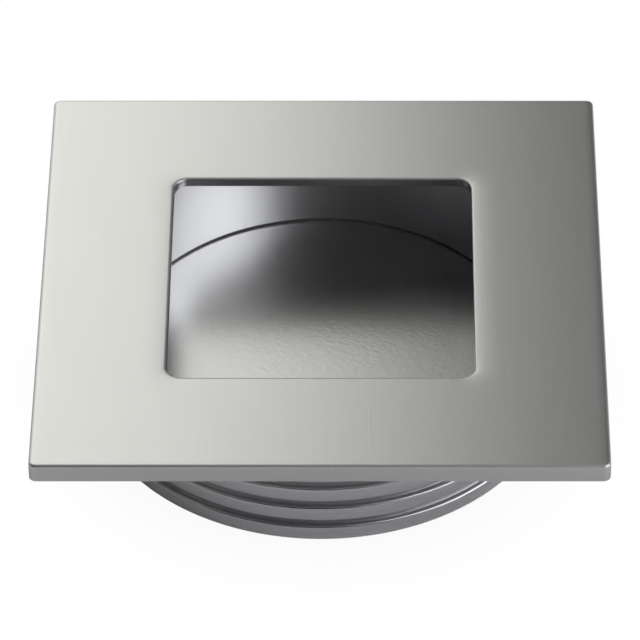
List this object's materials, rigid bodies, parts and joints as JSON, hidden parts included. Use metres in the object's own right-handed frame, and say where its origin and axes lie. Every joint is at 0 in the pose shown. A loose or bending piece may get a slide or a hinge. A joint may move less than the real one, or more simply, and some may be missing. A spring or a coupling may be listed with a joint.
{
  "type": "recessed handle",
  "caption": "Square satin metal flush pull: a face plate with a square finger opening over a round flat-floored hollow, and a grooved round wall behind it that is glued into a door.",
  "frame": {"origin": "on the axis of the round wall, in the plane of the plate's back face, which lies on the door", "axes": "+Z out of the door, along the wall's axis and out of the face; the plate's sides run along X and Y"},
  "size_m": [0.08, 0.08, 0.0198],
  "materials": {
    "satin_body": "satin, very fine straight brushing on the face, turned lines on the round wall",
    "brushed_floor": "satin, short wavy brush marks"
  },
  "bodies": {
    "root": {"pull_body": "satin_body", "floor_disc": "brushed_floor"}
  },
  "joints": []
}
